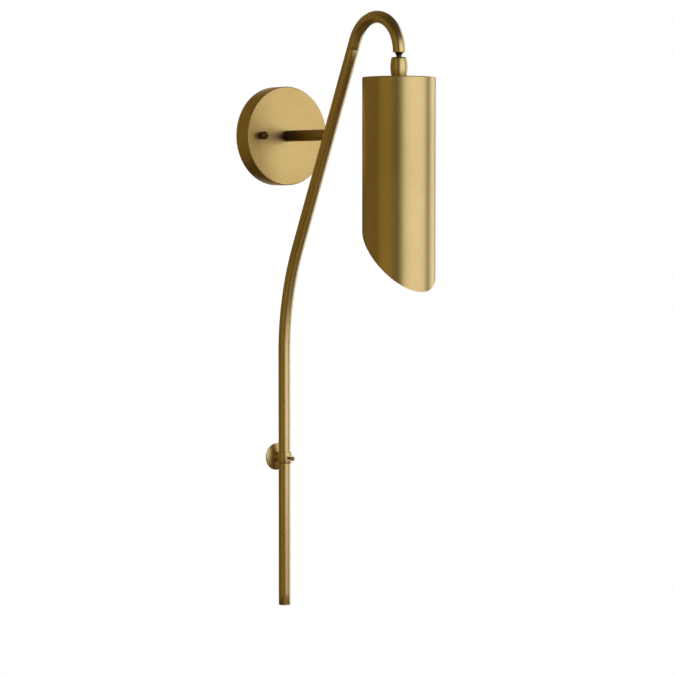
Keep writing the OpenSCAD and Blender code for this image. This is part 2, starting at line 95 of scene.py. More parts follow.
# ---------------------------------------------------------------- camera, light and floor


def add_camera():
    """Left of the light and a little below its arm, looking slightly down."""
    camera = bpy.data.cameras.new("camera")
    camera.sensor_width = 36
    camera.lens = 130.31
    camera.clip_end = 60
    obj = bpy.data.objects.new("camera", camera)
    bpy.context.scene.collection.objects.link(obj)
    obj.location = (-1.9080, -2.5480, -0.0694)
    obj.rotation_euler = Euler((math.radians(90 - 3.457), 0, math.radians(-38.267)))
    bpy.context.scene.camera = obj


def add_softbox(name, azimuth, height, distance, width, tall, power, tint=(1, 1, 1), lift=0):
    """A soft rectangular light that faces the shade's axis at a height, in metres.

    Azimuth turns from -Y towards +X, and lift raises the light above that height, both in degrees.
    """
    light = bpy.data.lights.new(name, "AREA")
    light.shape = "RECTANGLE"
    light.size = width
    light.size_y = tall
    light.energy = power
    light.color = tint
    obj = bpy.data.objects.new(name, light)
    bpy.context.scene.collection.objects.link(obj)
    toward = Euler((-math.radians(lift), 0, math.radians(azimuth))).to_matrix() @ OUT
    aim = Vector((0, SHADE_Y * MM, height))
    obj.location = aim + toward * distance
    obj.rotation_euler = (aim - obj.location).to_track_quat("-Z", "Y").to_euler()


def white_for_camera(tree, seen, unseen, out):
    """Shows one shader to the camera and the other to everything else."""
    mix = tree.nodes.new("ShaderNodeMixShader")
    path = tree.nodes.new("ShaderNodeLightPath")
    tree.links.new(path.outputs["Is Camera Ray"], mix.inputs["Fac"])
    tree.links.new(unseen, mix.inputs[1])
    tree.links.new(seen, mix.inputs[2])
    tree.links.new(mix.outputs[0], out)


def add_world():
    """A white backdrop for the camera and a dim warm room for everything else."""
    world = bpy.data.worlds.new("studio")
    bpy.context.scene.world = world
    world.use_nodes = True
    tree = world.node_tree
    tree.nodes.clear()
    out = tree.nodes.new("ShaderNodeOutputWorld")
    room = tree.nodes.new("ShaderNodeBackground")
    white = tree.nodes.new("ShaderNodeBackground")
    room.inputs["Color"].default_value = (1.0, 0.75, 0.30, 1)
    room.inputs["Strength"].default_value = 0.07
    white.inputs["Color"].default_value = (1, 1, 1, 1)
    white_for_camera(tree, white.outputs[0], room.outputs[0], out.inputs["Surface"])


def add_floor():
    """The floor, far below the fixture: plain white to the camera, warm brown to all other rays."""
    bpy.ops.mesh.primitive_plane_add(size=40, location=(0, 0, -4.0))
    floor = bpy.context.object
    floor.name = "floor"
    mat = bpy.data.materials.new("floor_white")
    mat.use_nodes = True
    tree = mat.node_tree
    shader = tree.nodes["Principled BSDF"]
    shader.inputs["Base Color"].default_value = (0.52, 0.43, 0.27, 1)
    shader.inputs["Roughness"].default_value = 0.85
    glow = tree.nodes.new("ShaderNodeEmission")
    out = tree.nodes["Material Output"].inputs["Surface"]
    white_for_camera(tree, glow.outputs[0], shader.outputs[0], out)
    floor.data.materials.append(mat)


# ---------------------------------------------------------------- materials


class Nodes:
    """Short forms for building a material's node tree."""

    def __init__(self, name):
        self.mat = bpy.data.materials.new(name)
        self.mat.use_nodes = True
        self.tree = self.mat.node_tree
        self.shader = self.tree.nodes["Principled BSDF"]
        self.place = self.add("ShaderNodeTexCoord").outputs["Object"]

    def add(self, kind, **values):
        node = self.tree.nodes.new(kind)
        for key, value in values.items():
            setattr(node, key, value)
        return node

    def link(self, source, target):
        self.tree.links.new(source, target)

    def math(self, operation, *values):
        node = self.add("ShaderNodeMath", operation=operation)
        for value, socket in zip(values, node.inputs):
            if isinstance(value, (int, float)):
                socket.default_value = value
            else:
                self.link(value, socket)
        return node.outputs[0]

    def vector(self, x, y, z):
        node = self.add("ShaderNodeCombineXYZ")
        for value, socket in zip((x, y, z), node.inputs):
            if isinstance(value, (int, float)):
                socket.default_value = value
            else:
                self.link(value, socket)
        return node.outputs[0]

    def noise(self, scale, detail=3.0, place=None):
        noise = self.add("ShaderNodeTexNoise")
        noise.inputs["Scale"].default_value = scale
        noise.inputs["Detail"].default_value = detail
        self.link(place or self.place, noise.inputs["Vector"])
        return noise.outputs["Fac"]

    def turned_grain(self, around, along):
        """Fine grain on a piece's own grid: around its turning, and per millimetre along it."""
        uv = self.add("ShaderNodeSeparateXYZ")
        self.link(self.add("ShaderNodeUVMap", uv_map="grain").outputs[0], uv.inputs[0])
        angle = self.math("MULTIPLY", uv.outputs[0], math.tau)
        x = self.math("MULTIPLY", self.math("COSINE", angle), around)
        y = self.math("MULTIPLY", self.math("SINE", angle), around)
        z = self.math("MULTIPLY", uv.outputs[1], along)
        return self.noise(1.0, 2.0, self.vector(x, y, z))

    def spun_grain(self, fine):
        """Rings about the Y axis through the origin, as on a spun disc."""
        split = self.add("ShaderNodeSeparateXYZ")
        self.link(self.place, split.inputs[0])
        x2 = self.math("POWER", split.outputs[0], 2)
        z2 = self.math("POWER", split.outputs[2], 2)
        radius = self.math("SQRT", self.math("ADD", x2, z2))
        return self.noise(1.0, 2.0, self.vector(
            self.math("MULTIPLY", radius, fine),
            self.math("MULTIPLY", split.outputs[1], fine),
            0.0))

    def ramp(self, source, stops):
        ramp = self.add("ShaderNodeValToRGB")
        while len(ramp.color_ramp.elements) < len(stops):
            ramp.color_ramp.elements.new(0.5)
        for element, (place, color) in zip(ramp.color_ramp.elements, stops):
            element.position = place
            element.color = (*color, 1)
        self.link(source, ramp.inputs["Fac"])
        return ramp.outputs["Color"]

    def span(self, source, low, high):
        """Maps 0..1 onto low..high."""
        node = self.add("ShaderNodeMapRange")
        node.inputs["To Min"].default_value = low
        node.inputs["To Max"].default_value = high
        self.link(source, node.inputs["Value"])
        return node.outputs["Result"]

    def multiply(self, fac, a, b):
        node = self.add("ShaderNodeMix", data_type="RGBA", blend_type="MULTIPLY")
        node.inputs[0].default_value = fac
        self.link(a, node.inputs[6])
        self.link(b, node.inputs[7])
        return node.outputs[2]

    def bump(self, height, strength, distance, normal=None):
        node = self.add("ShaderNodeBump")
        node.inputs["Strength"].default_value = strength
        node.inputs["Distance"].default_value = distance
        self.link(height, node.inputs["Height"])
        if normal is not None:
            self.link(normal, node.inputs["Normal"])
        return node.outputs["Normal"]

    def set(self, **values):
        for key, value in values.items():
            self.shader.inputs[key.replace("_", " ")].default_value = value


# painted shade on the arm's brass, darkest at the canopy: a factor from the canopy at 0 to the stem at
# 1, in metres along Y
ROOT_Y = -0.025
ROOT_LENGTH = 0.080
ROOT_PAINTED_SHADE = [
    (0.0, (0.04, 0.03, 0.02)), (0.25, (0.10, 0.09, 0.07)),
    (0.6, (0.42, 0.40, 0.34)), (1.0, (0.72, 0.70, 0.62)),
]


def satin_brass(name, light, deep, rough=0.33, grain=None, coat=0.05, root=False):
    """Satin brass: slow patina, specks, grain and, if root is set, a painted shade that darkens it
    towards the canopy.
    """
    n = Nodes(name)
    patina = n.ramp(n.noise(9, 4), [(0.30, deep), (0.68, light)])
    specks = n.ramp(n.noise(420, 2), [(0.30, (0.86, 0.84, 0.78)), (0.60, (1, 1, 1))])
    face = n.multiply(0.35, patina, specks)
    # painted shade: the dark reflection and shade near the canopy, multiplied into the arm's colour
    if root:
        split = n.add("ShaderNodeSeparateXYZ")
        n.link(n.place, split.inputs[0])
        along = n.math("DIVIDE", n.math("ADD", split.outputs[1], -ROOT_Y), -ROOT_LENGTH)
        face = n.multiply(1.0, face, n.ramp(along, ROOT_PAINTED_SHADE))
    n.link(face, n.shader.inputs["Base Color"])
    hair = n.spun_grain(grain) if isinstance(grain, (int, float)) else n.turned_grain(*grain)
    cloud = n.span(n.noise(26, 3), rough - 0.04, rough + 0.05)
    n.link(n.math("ADD", n.span(hair, -0.05, 0.05), cloud), n.shader.inputs["Roughness"])
    normal = n.bump(hair, 0.06, 0.00004)
    n.link(n.bump(n.noise(1500, 2), 0.03, 0.00003, normal), n.shader.inputs["Normal"])
    n.set(Metallic=1.0, Coat_Weight=coat, Coat_Roughness=0.30)
    return n.mat


def plain_metal(name, light, deep, rough):
    """Small hardware: plated or turned metal with a faint mottle and fine scratches."""
    n = Nodes(name)
    n.link(n.ramp(n.noise(60, 4), [(0.30, deep), (0.70, light)]), n.shader.inputs["Base Color"])
    n.link(n.span(n.noise(240, 3), rough - 0.06, rough + 0.08), n.shader.inputs["Roughness"])
    n.link(n.bump(n.noise(1600, 2), 0.12, 0.00004), n.shader.inputs["Normal"])
    n.set(Metallic=1.0)
    return n.mat


def matte(name, light, deep, rough, scale=120, bump=0.15, coat=0.0):
    """Moulded, glazed or drawn non-metal with a fine surface."""
    n = Nodes(name)
    n.link(n.ramp(n.noise(scale, 4), [(0.30, deep), (0.70, light)]), n.shader.inputs["Base Color"])
    n.link(n.span(n.noise(scale * 3, 3), rough - 0.05, rough + 0.06), n.shader.inputs["Roughness"])
    n.link(n.bump(n.noise(scale * 8, 3), bump, 0.00005), n.shader.inputs["Normal"])
    n.set(Coat_Weight=coat, Coat_Roughness=0.08)
    return n.mat


def opal_glass(name):
    """White-coated lamp glass: milky, faintly uneven, with a soft gloss."""
    n = Nodes(name)
    cream = [(0.30, (0.86, 0.85, 0.80)), (0.70, (0.92, 0.91, 0.88))]
    n.link(n.ramp(n.noise(40, 3), cream), n.shader.inputs["Base Color"])
    n.link(n.span(n.noise(300, 2), 0.22, 0.32), n.shader.inputs["Roughness"])
    n.set(Subsurface_Weight=0.25, Subsurface_Scale=0.002, Coat_Weight=0.35, Coat_Roughness=0.12)
    return n.mat


BRASS = ((0.75, 0.590, 0.290), (0.67, 0.515, 0.235))
WARM_BRASS = ((0.75, 0.555, 0.235), (0.66, 0.475, 0.185))
# brass painted very dark: shade and dark reflection put into the base colour of the cap nuts, swivel
# stud, bushing and thumb screw
PAINTED_SHADE_BRASS = ((0.14, 0.095, 0.035), (0.07, 0.045, 0.016))
MATERIALS = {
    "tube_brass": satin_brass("tube_brass", *BRASS, 0.31, (3, 0.4)),
    "shade_brass": satin_brass("shade_brass", *BRASS, 0.35, (2.2, 3)),
    "canopy_brass": satin_brass("canopy_brass", *WARM_BRASS, 0.38, 2500),
    # the arm's brass carries a painted shade that darkens it towards the canopy
    "arm_brass_painted_shade": satin_brass("arm_brass_painted_shade", *WARM_BRASS, 0.31, (3, 0.4), root=True),
    "turned_brass": satin_brass("turned_brass", *BRASS, 0.31, (1.6, 3.5)),
    "dark_brass": satin_brass("dark_brass", *PAINTED_SHADE_BRASS, 0.34, (1.6, 3.5)),
    "plain_brass": plain_metal("plain_brass", (0.72, 0.52, 0.20), (0.60, 0.41, 0.14), 0.28),
    "zinc": plain_metal("zinc", (0.62, 0.62, 0.60), (0.48, 0.49, 0.50), 0.36),
    "green_zinc": plain_metal("green_zinc", (0.06, 0.22, 0.08), (0.03, 0.13, 0.05), 0.40),
    "lamp_metal": plain_metal("lamp_metal", (0.76, 0.75, 0.72), (0.62, 0.62, 0.60), 0.30),
    "connector": matte("connector", (0.72, 0.23, 0.03), (0.58, 0.17, 0.02), 0.45),
    "insulation": matte("insulation", (0.80, 0.80, 0.76), (0.70, 0.70, 0.66), 0.42),
    "nylon": matte("nylon", (0.82, 0.80, 0.74), (0.74, 0.72, 0.66), 0.40),
    "porcelain": matte("porcelain", (0.86, 0.84, 0.78), (0.78, 0.76, 0.70), 0.22, 70, 0.05, 0.6),
    "opal_glass": opal_glass("opal_glass"),
    "light_strip": matte("light_strip", (0.88, 0.66, 0.16), (0.80, 0.56, 0.10), 0.5),
}

# ---------------------------------------------------------------- mesh helpers

SHARP = math.radians(38)           # edges that turn more than this are drawn sharp
WALL = 1.2                         # the sheet of the canopy and the shade
LEAD_R = 0.9
LAMP_PITCH = 3.63                  # of the lamp's thread


def rounded(corners, steps=5):
    """An outline whose corners (a, b, radius) are filleted with arcs."""
    out = []
    count = len(corners)
    for i, (x, y, r) in enumerate(corners):
        here = Vector((x, y))
        before = Vector(corners[i - 1][:2]) - here
        after = Vector(corners[(i + 1) % count][:2]) - here
        if r <= 0:
            out.append((x, y))
            continue
        angle = before.angle(after)
        reach = min(r / math.tan(angle / 2), before.length * 0.49, after.length * 0.49)
        r = reach * math.tan(angle / 2)
        middle = (before.normalized() + after.normalized()).normalized()
        centre = here + middle * (r / math.sin(angle / 2))
        start = here + before.normalized() * reach - centre
        side = 1 if before.x * after.y - before.y * after.x < 0 else -1
        for k in range(steps + 1):
            t = side * (math.pi - angle) * k / steps
            out.append((centre.x + start.x * math.cos(t) - start.y * math.sin(t),
                        centre.y + start.x * math.sin(t) + start.y * math.cos(t)))
    return out


def arc(cx, cy, r, start, stop, steps):
    """Points of an arc, from start to stop in degrees."""
    angles = [math.radians(start + (stop - start) * k / steps) for k in range(steps + 1)]
    return [(cx + r * math.cos(a), cy + r * math.sin(a)) for a in angles]


def grid(bm, rings, closed):
    """Joins rings of vertices with quads; a ring of one vertex is a pole. Writes the grain UV."""
    layer = bm.loops.layers.uv.get("grain") or bm.loops.layers.uv.new("grain")
    pairs = list(zip(rings, rings[1:]))
    if closed:
        pairs.append((rings[-1], rings[0]))
    along = 0.0
    for a, b in pairs:
        step = (a[0].co - b[0].co).length
        n = max(len(a), len(b))
        for k in range(n):
            m = (k + 1) % n
            if len(a) == 1:
                corners = [(a[0], k + 0.5, 0), (b[k], k, 1), (b[m], k + 1, 1)]
            elif len(b) == 1:
                corners = [(a[k], k, 0), (b[0], k + 0.5, 1), (a[m], k + 1, 0)]
            else:
                corners = [(a[k], k, 0), (b[k], k, 1), (b[m], k + 1, 1), (a[m], k + 1, 0)]
            face = bm.faces.new([c[0] for c in corners])
            for loop, (_, u, v) in zip(face.loops, corners):
                loop[layer].uv = (u / n, along + v * step)
        along += step


def turn(bm, outline, origin, axis, steps=96, closed=True, shape=None):
    """Turns an outline of (radius, height) about an axis; shape(angle, r, h) gives the radius."""
    side = Vector((1, 0, 0)) if abs(axis.x) < 0.9 else UP
    other = axis.cross(side)
    rings = []
    for r, h in outline:
        if r < 1e-6:
            rings.append([bm.verts.new(origin + axis * h)])
            continue
        ring = []
        for k in range(steps):
            t = math.tau * k / steps
            out = shape(t, r, h) if shape else r
            ring.append(bm.verts.new(
                origin + axis * h + (side * math.cos(t) + other * math.sin(t)) * out))
        rings.append(ring)
    grid(bm, rings, closed)


def route_points(segments):
    """Centre, normal and direction along a plane route of lines and arcs."""
    out = []
    for kind, *values in segments:
        if kind == "line":
            start, end, count = values
            run = (end - start).normalized()
            found = [(start.lerp(end, k / count), Vector((run.y, -run.x)), run)
                     for k in range(count + 1)]
        else:
            centre, radius, begin, stop, count = values
            turn_sign = 1 if stop > begin else -1
            found = []
            for k in range(count + 1):
                t = math.radians(begin + (stop - begin) * k / count)
                out_dir = Vector((math.cos(t), math.sin(t)))
                run = Vector((-math.sin(t), math.cos(t))) * turn_sign
                found.append((centre + out_dir * radius, Vector((run.y, -run.x)), run))
        for station in found:
            if not out or (station[0] - out[-1][0]).length > 1e-4:
                out.append(station)
    return out


def in_side_plane(x):
    """Places a route in the plane X = x, as (Y, Z)."""
    return lambda off, u, w: Vector((x + off, u, w))


def in_front_plane(y):
    """Places a route of the head in the plane Y = y, as (X, Z)."""
    return lambda off, u, w: Vector((u, y + off, w + HEAD_Z))


def pipe(bm, segments, radius, bore, ease, place, steps=64):
    """A round tube or bar along a plane route, with eased end edges."""
    route = route_points(segments)

    def ring(station, r, shift=0.0):
        centre, normal, run = station
        centre = centre + run * shift
        found = []
        for k in range(steps):
            t = math.tau * k / steps
            found.append(bm.verts.new(place(
                r * math.sin(t), centre.x + normal.x * r * math.cos(t),
                centre.y + normal.y * r * math.cos(t))))
        return found

    first, last = route[0], route[-1]
    rings = [ring(first, radius - ease), ring(first, radius - ease * 0.3, ease * 0.3),
             ring(first, radius, ease)]
    rings += [ring(s, radius) for s in route[1:-1]]
    rings += [ring(last, radius, -ease), ring(last, radius - ease * 0.3, -ease * 0.3),
              ring(last, radius - ease)]
    if bore > 0:
        rings += [ring(s, bore) for s in reversed(route)]
        grid(bm, rings, True)
    else:
        ends = [[bm.verts.new(place(0, s[0].x, s[0].y))] for s in (first, last)]
        grid(bm, [ends[0]] + rings + [ends[1]], False)


def drill(obj, origin, axis, radius, length):
    """Bores a round hole from origin along axis."""
    bm = bmesh.new()
    turn(bm, [(0, 0), (radius, 0), (radius, length), (0, length)], origin, axis, 48, False)
    bmesh.ops.recalc_face_normals(bm, faces=bm.faces)
    bmesh.ops.scale(bm, vec=(MM, MM, MM), verts=bm.verts)
    mesh = bpy.data.meshes.new("cutter")
    bm.to_mesh(mesh)
    bm.free()
    cutter = bpy.data.objects.new("cutter", mesh)
    bpy.context.scene.collection.objects.link(cutter)
    hole = obj.modifiers.new("hole", "BOOLEAN")
    hole.operation = "DIFFERENCE"
    hole.solver = "EXACT"
    hole.object = cutter
    with bpy.context.temp_override(object=obj, active_object=obj):
        bpy.ops.object.modifier_apply(modifier="hole")
    bpy.data.objects.remove(cutter)
    bpy.data.meshes.remove(mesh)


def piece(name, bm, body, node, material, holes=()):
    """Makes the finished piece, which rides its body in place of its CAD node."""
    bmesh.ops.recalc_face_normals(bm, faces=bm.faces)
    bmesh.ops.scale(bm, vec=(MM, MM, MM), verts=bm.verts)
    mesh = bpy.data.meshes.new(name)
    bm.to_mesh(mesh)
    bm.free()
    obj = bpy.data.objects.new(name, mesh)
    bpy.context.scene.collection.objects.link(obj)
    for hole in holes:
        drill(obj, *hole)
    bm = bmesh.new()
    bm.from_mesh(obj.data)
    for face in bm.faces:
        face.smooth = True
        face.material_index = 0
    for edge in bm.edges:
        edge.smooth = len(edge.link_faces) == 2 and edge.calc_face_angle(0) < SHARP
    bm.to_mesh(obj.data)
    bm.free()
    obj.data.materials.clear()
    obj.data.materials.append(MATERIALS[material])
    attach(obj, body)
    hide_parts(node)
    return obj


def turned_piece(name, outline, origin, axis, body, node, material, holes=(), **how):
    """A finished piece that is one turned outline."""
    bm = bmesh.new()
    turn(bm, outline, origin, axis, **how)
    return piece(name, bm, body, node, material, holes)


def sampled(r, low, high, step):
    """Points up a wall of one radius, close enough together to carry a thread."""
    count = max(2, math.ceil((high - low) / step))
    return [(r, low + (high - low) * k / count) for k in range(count + 1)]


def thread(r, low, high, pitch, depth):
    """A helical groove in the wall of radius r between two heights."""
    def shape(t, radius, h):
        if radius < r - 1e-6 or h <= low or h >= high:
            return radius
        fade = min(1, (h - low) / pitch, (high - h) / pitch)
        return radius - depth * fade * (0.5 - 0.5 * math.cos(math.tau * h / pitch - t))
    return shape


def threaded_rod(bm, r, bore, low, high, origin, axis, pitch, depth, steps=48):
    """A threaded rod, or a threaded nipple if it has a bore."""
    ease = depth
    wall = sampled(r, low + ease, high - ease, pitch / 6)
    shape = thread(r, low + ease, high - ease, pitch, depth)
    if bore > 0:
        outline = [(bore, high), (bore, low), (r - ease, low)] + wall + [(r - ease, high)]
        turn(bm, outline, origin, axis, steps, True, shape)
    else:
        outline = [(0, low), (r - ease, low)] + wall + [(r - ease, high), (0, high)]
        turn(bm, outline, origin, axis, steps, False, shape)


def rolled_thread(low, high, depth, least_r=0):
    """A lamp's rolled thread on the walls outside least_r, faded over 2 mm at both ends."""
    def shape(t, r, h):
        if r < least_r:
            return r
        fade = max(0, min(1, (h - low) / 2, (high - h) / 2))
        return r - depth * fade * (0.5 - 0.5 * math.cos(math.tau * h / LAMP_PITCH - t))
    return shape


def closer(points, step):
    """Adds points so that no two are further apart than step."""
    out = [points[0]]
    for a, b in zip(points, points[1:]):
        count = max(1, math.ceil(math.hypot(b[0] - a[0], b[1] - a[1]) / step))
        for k in range(1, count + 1):
            out.append((a[0] + (b[0] - a[0]) * k / count, a[1] + (b[1] - a[1]) * k / count))
    return out


def ring_about_y(bm, radius, y, steps, height=0.0):
    """A ring about a line along Y; y is a number or a function of a point's own x and z."""
    found = []
    for k in range(steps):
        t = math.tau * k / steps
        x, z = radius * math.cos(t), radius * math.sin(t)
        found.append(bm.verts.new((x, y(x, z) if callable(y) else y, height + z)))
    return found


def washer_outline(outer, bore, low, high, ease=0.25):
    """A flat ring with eased edges, for washers, plugs and rings."""
    return rounded([(bore, low, ease), (outer, low, ease), (outer, high, ease), (bore, high, ease)], 2)


def hex_nut(name, across, bore, low, high, origin, axis, body, node, material):
    """A hexagonal nut with turned corner chamfers and a countersunk bore."""
    flat = across / 2
    corner = flat / math.cos(math.pi / 6)

    def shape(t, r, h):
        if r < bore + 0.8:
            return r
        turned = (t + math.pi / 6) % (math.pi / 3) - math.pi / 6
        return min(r, flat / math.cos(turned))

    outline = [(bore, low + 0.4), (bore + 0.4, low), (flat - 0.1, low), (corner, low + 0.7),
               (corner, high - 0.7), (flat - 0.1, high), (bore + 0.4, high), (bore, high - 0.4)]
    turned_piece(name, outline, origin, axis, body, node, material, steps=96, shape=shape)


# ---------------------------------------------------------------- stem route, as (Y, Z)

LEAN_DIR = Vector((-math.sin(LEAN), math.cos(LEAN)))
LEAN_NORMAL = Vector((math.cos(LEAN), math.sin(LEAN)))
ARM_JOINT = Vector((-ARM_REACH, 0))
BEND_TANGENT = STEM_BEND_R * math.tan(LEAN / 2)
CORNER = Vector((LOWER_Y, -(ARM_REACH + LOWER_Y) / math.tan(LEAN)))
BEND_LOW = CORNER - Vector((0, BEND_TANGENT))
BEND_HIGH = CORNER + LEAN_DIR * BEND_TANGENT
NECK_Y = SHADE_Y + NECK_BEND_R
NECK_OFFSET = ARM_JOINT.dot(LEAN_NORMAL) - NECK_BEND_R - NECK_Y * LEAN_NORMAL.x
NECK_CENTRE = Vector((NECK_Y, NECK_OFFSET / LEAN_NORMAL.y))
NECK_START = NECK_CENTRE + LEAN_NORMAL * NECK_BEND_R
SEAM = NECK_START - LEAN_DIR * NECK_STRAIGHT
SEAM_GAP = 0.3
STEM_FOOT = Vector((LOWER_Y, box("stem_tube")[0].z))
NECK_END = Vector((SHADE_Y, box("gooseneck_bushing")[0].z))
LEAN_DEG = math.degrees(LEAN)


def build_stem():
    """The stem, its end cap, the gooseneck above the seam and the coupler inside the seam."""
    bm = bmesh.new()
    pipe(bm, [
        ("line", STEM_FOOT, BEND_LOW, 24),
        ("arc", BEND_LOW - Vector((STEM_BEND_R, 0)), STEM_BEND_R, 0, LEAN_DEG, 28),
        ("line", BEND_HIGH, SEAM, 20),
    ], TUBE_R, TUBE_R - TUBE_WALL, 0.3, in_side_plane(0))
    wire_hole_r = 4.5
    wire_hole = (Vector((0, -ARM_REACH + TUBE_R + 4, 0)), OUT, wire_hole_r, TUBE_R + 4)
    piece("stem", bm, "fixture", "stem_tube", "tube_brass", [wire_hole])
    bm = bmesh.new()
    pipe(bm, [
        ("line", SEAM + LEAN_DIR * SEAM_GAP, NECK_START, 4),
        ("arc", NECK_CENTRE, NECK_BEND_R, LEAN_DEG, 180, 60),
        ("line", Vector((SHADE_Y, NECK_CENTRE.y)), NECK_END, 2),
    ], TUBE_R, TUBE_R - TUBE_WALL, 0.3, in_side_plane(0))
    piece("gooseneck", bm, "fixture", "gooseneck_tube", "tube_brass")
    bm = bmesh.new()
    coupler_below = 14
    coupler_above = 12
    coupler_bore_r = 4.2
    pipe(bm, [("line", SEAM - LEAN_DIR * coupler_below, SEAM + LEAN_DIR * coupler_above, 4)],
         TUBE_R - TUBE_WALL - 0.1, coupler_bore_r, 0.4, in_side_plane(0))
    piece("coupler", bm, "fixture", "stem_coupler", "turned_brass")
    low, high = box("stem_end_cap")
    outline = rounded([
        (0, low.z, 0), (TUBE_R, low.z, 0.5), (TUBE_R, low.z + 1.5, 0.15),
        (6.2, low.z + 1.5, 0), (6.2, high.z, 0.5), (0, high.z, 0),
    ])
    turned_piece("stem_cap", outline, Vector((0, LOWER_Y, 0)), UP, "fixture", "stem_end_cap",
                 "turned_brass", closed=False)


def build_arm():
    """The arm's tube, whose far end follows the stem's surface, and what holds its root."""
    outer = half_width("arm_tube")
    bore = outer - TUBE_WALL
    root = box("arm_tube")[1].y
    bm = bmesh.new()

    def on_stem(x, z, gap):
        r = TUBE_R + gap
        return -ARM_REACH + (math.sqrt(r * r - x * x) - z * math.sin(LEAN)) / math.cos(LEAN)

    def ring(r, y):
        return ring_about_y(bm, r, y, 72)

    rings = [ring(outer - 0.25, root), ring(outer, root - 0.25)]
    for share in (0.1, 0.3, 0.5, 0.7, 0.85, 0.95):
        rings.append(ring(outer, lambda x, z: root + (on_stem(x, z, 0.05) - root) * share))
    rings.append(ring(outer, lambda x, z: on_stem(x, z, 0.35)))
    rings.append(ring(outer - 0.3, lambda x, z: on_stem(x, z, 0.05)))
    rings.append(ring(bore, lambda x, z: on_stem(x, z, 0.05)))
    rings.append(ring(bore, root))
    grid(bm, rings, True)
    piece("arm", bm, "fixture", "arm_tube", "arm_brass_painted_shade")

    low, high = box("arm_end_plug")
    turned_piece("arm_plug", washer_outline(half_width("arm_end_plug"), 5.03, -high.y, -low.y),
                 Vector(), OUT, "fixture", "arm_end_plug", "turned_brass")
    low, high = box("arm_nipple")
    bm = bmesh.new()
    threaded_rod(bm, half_width("arm_nipple"), 3.5, -high.y, -low.y, Vector(), OUT, 1.4, 0.5, 60)
    piece("arm_thread", bm, "fixture", "arm_nipple", "zinc")
    low, high = box("arm_lock_washer")
    bm = bmesh.new()

    def teeth(t, r, h):
        return r + (0.9 * (0.5 - 0.5 * math.cos(12 * t)) if r < 6 else 0)

    turn(bm, washer_outline(half_width("arm_lock_washer"), 5.1, -high.y, -low.y, 0.2),
         Vector(), OUT, 144, True, teeth)
    piece("arm_washer", bm, "fixture", "arm_lock_washer", "zinc")
    low, high = box("arm_locknut")
    hex_nut("arm_nut", 14, 5.03, -high.y, -low.y, Vector(), OUT, "fixture", "arm_locknut", "zinc")


def build_canopy():
    """Spun cup with an eased front edge, drilled for the arm and the studs, and its cap nuts."""
    radius = half_width("canopy")
    depth = -box("canopy")[0].y
    inner = depth - WALL
    outline = rounded([
        (0, depth, 0), (20, depth, 0), (radius - 2.4, depth, 0), (radius, depth, 1.2),
        (radius, 0, 0.35), (radius - WALL, 0, 0.35), (radius - WALL, inner, 0.8),
        (radius - 3, inner, 0), (20, inner, 0), (0, inner, 0),
    ], 6)
    holes = [(Vector((0, -10, 0)), OUT, 5.1, 30)]
    holes += [(Vector((side * STUD_X, -10, 0)), OUT, 2.33, 30) for side in (-1, 1)]
    turned_piece("canopy_cup", outline, Vector(), OUT, "fixture", "canopy", "canopy_brass",
                 holes, steps=160, closed=False)
    for side, name in ((-1, "left"), (1, "right")):
        node = f"canopy_nut_{name}"
        start = -box(node)[1].y
        dome_r = 11.2
        dome = [(dome_r * math.sin(a), 10.0 - dome_r + dome_r * math.cos(a))
                for a in (math.radians(d) for d in (24, 20, 15, 10, 5))]
        outline = [(0, 7), (2.13, 7), (2.13, 0.3), (2.4, 0), (3.2, 0), (3.4, 0.2), (3.4, 1.9),
                   (3.6, 2.0), (4.6, 2.0), (4.9, 2.15), (5.0, 2.5), (5.0, 3.2), (5.0, 5.0),
                   (5.0, 7.0), (5.0, 8.2), (4.95, 8.5), (4.75, 8.85)] + dome + [(0, 10.0)]
        outline = [(r, h + start) for r, h in outline]

        def knurl(t, r, h, base=start):
            if r < 4.95 or not 2.4 < h - base < 8.4:
                return r
            return r - 0.22 * (0.5 - 0.5 * math.cos(30 * t))

        # the cap nuts' very dark brass is painted shade and dark reflection
        turned_piece(f"cap_nut_{name}", outline, Vector((side * STUD_X, 0, 0)), OUT, f"nut_{name}",
                     node, "dark_brass", steps=180, closed=False, shape=knurl)


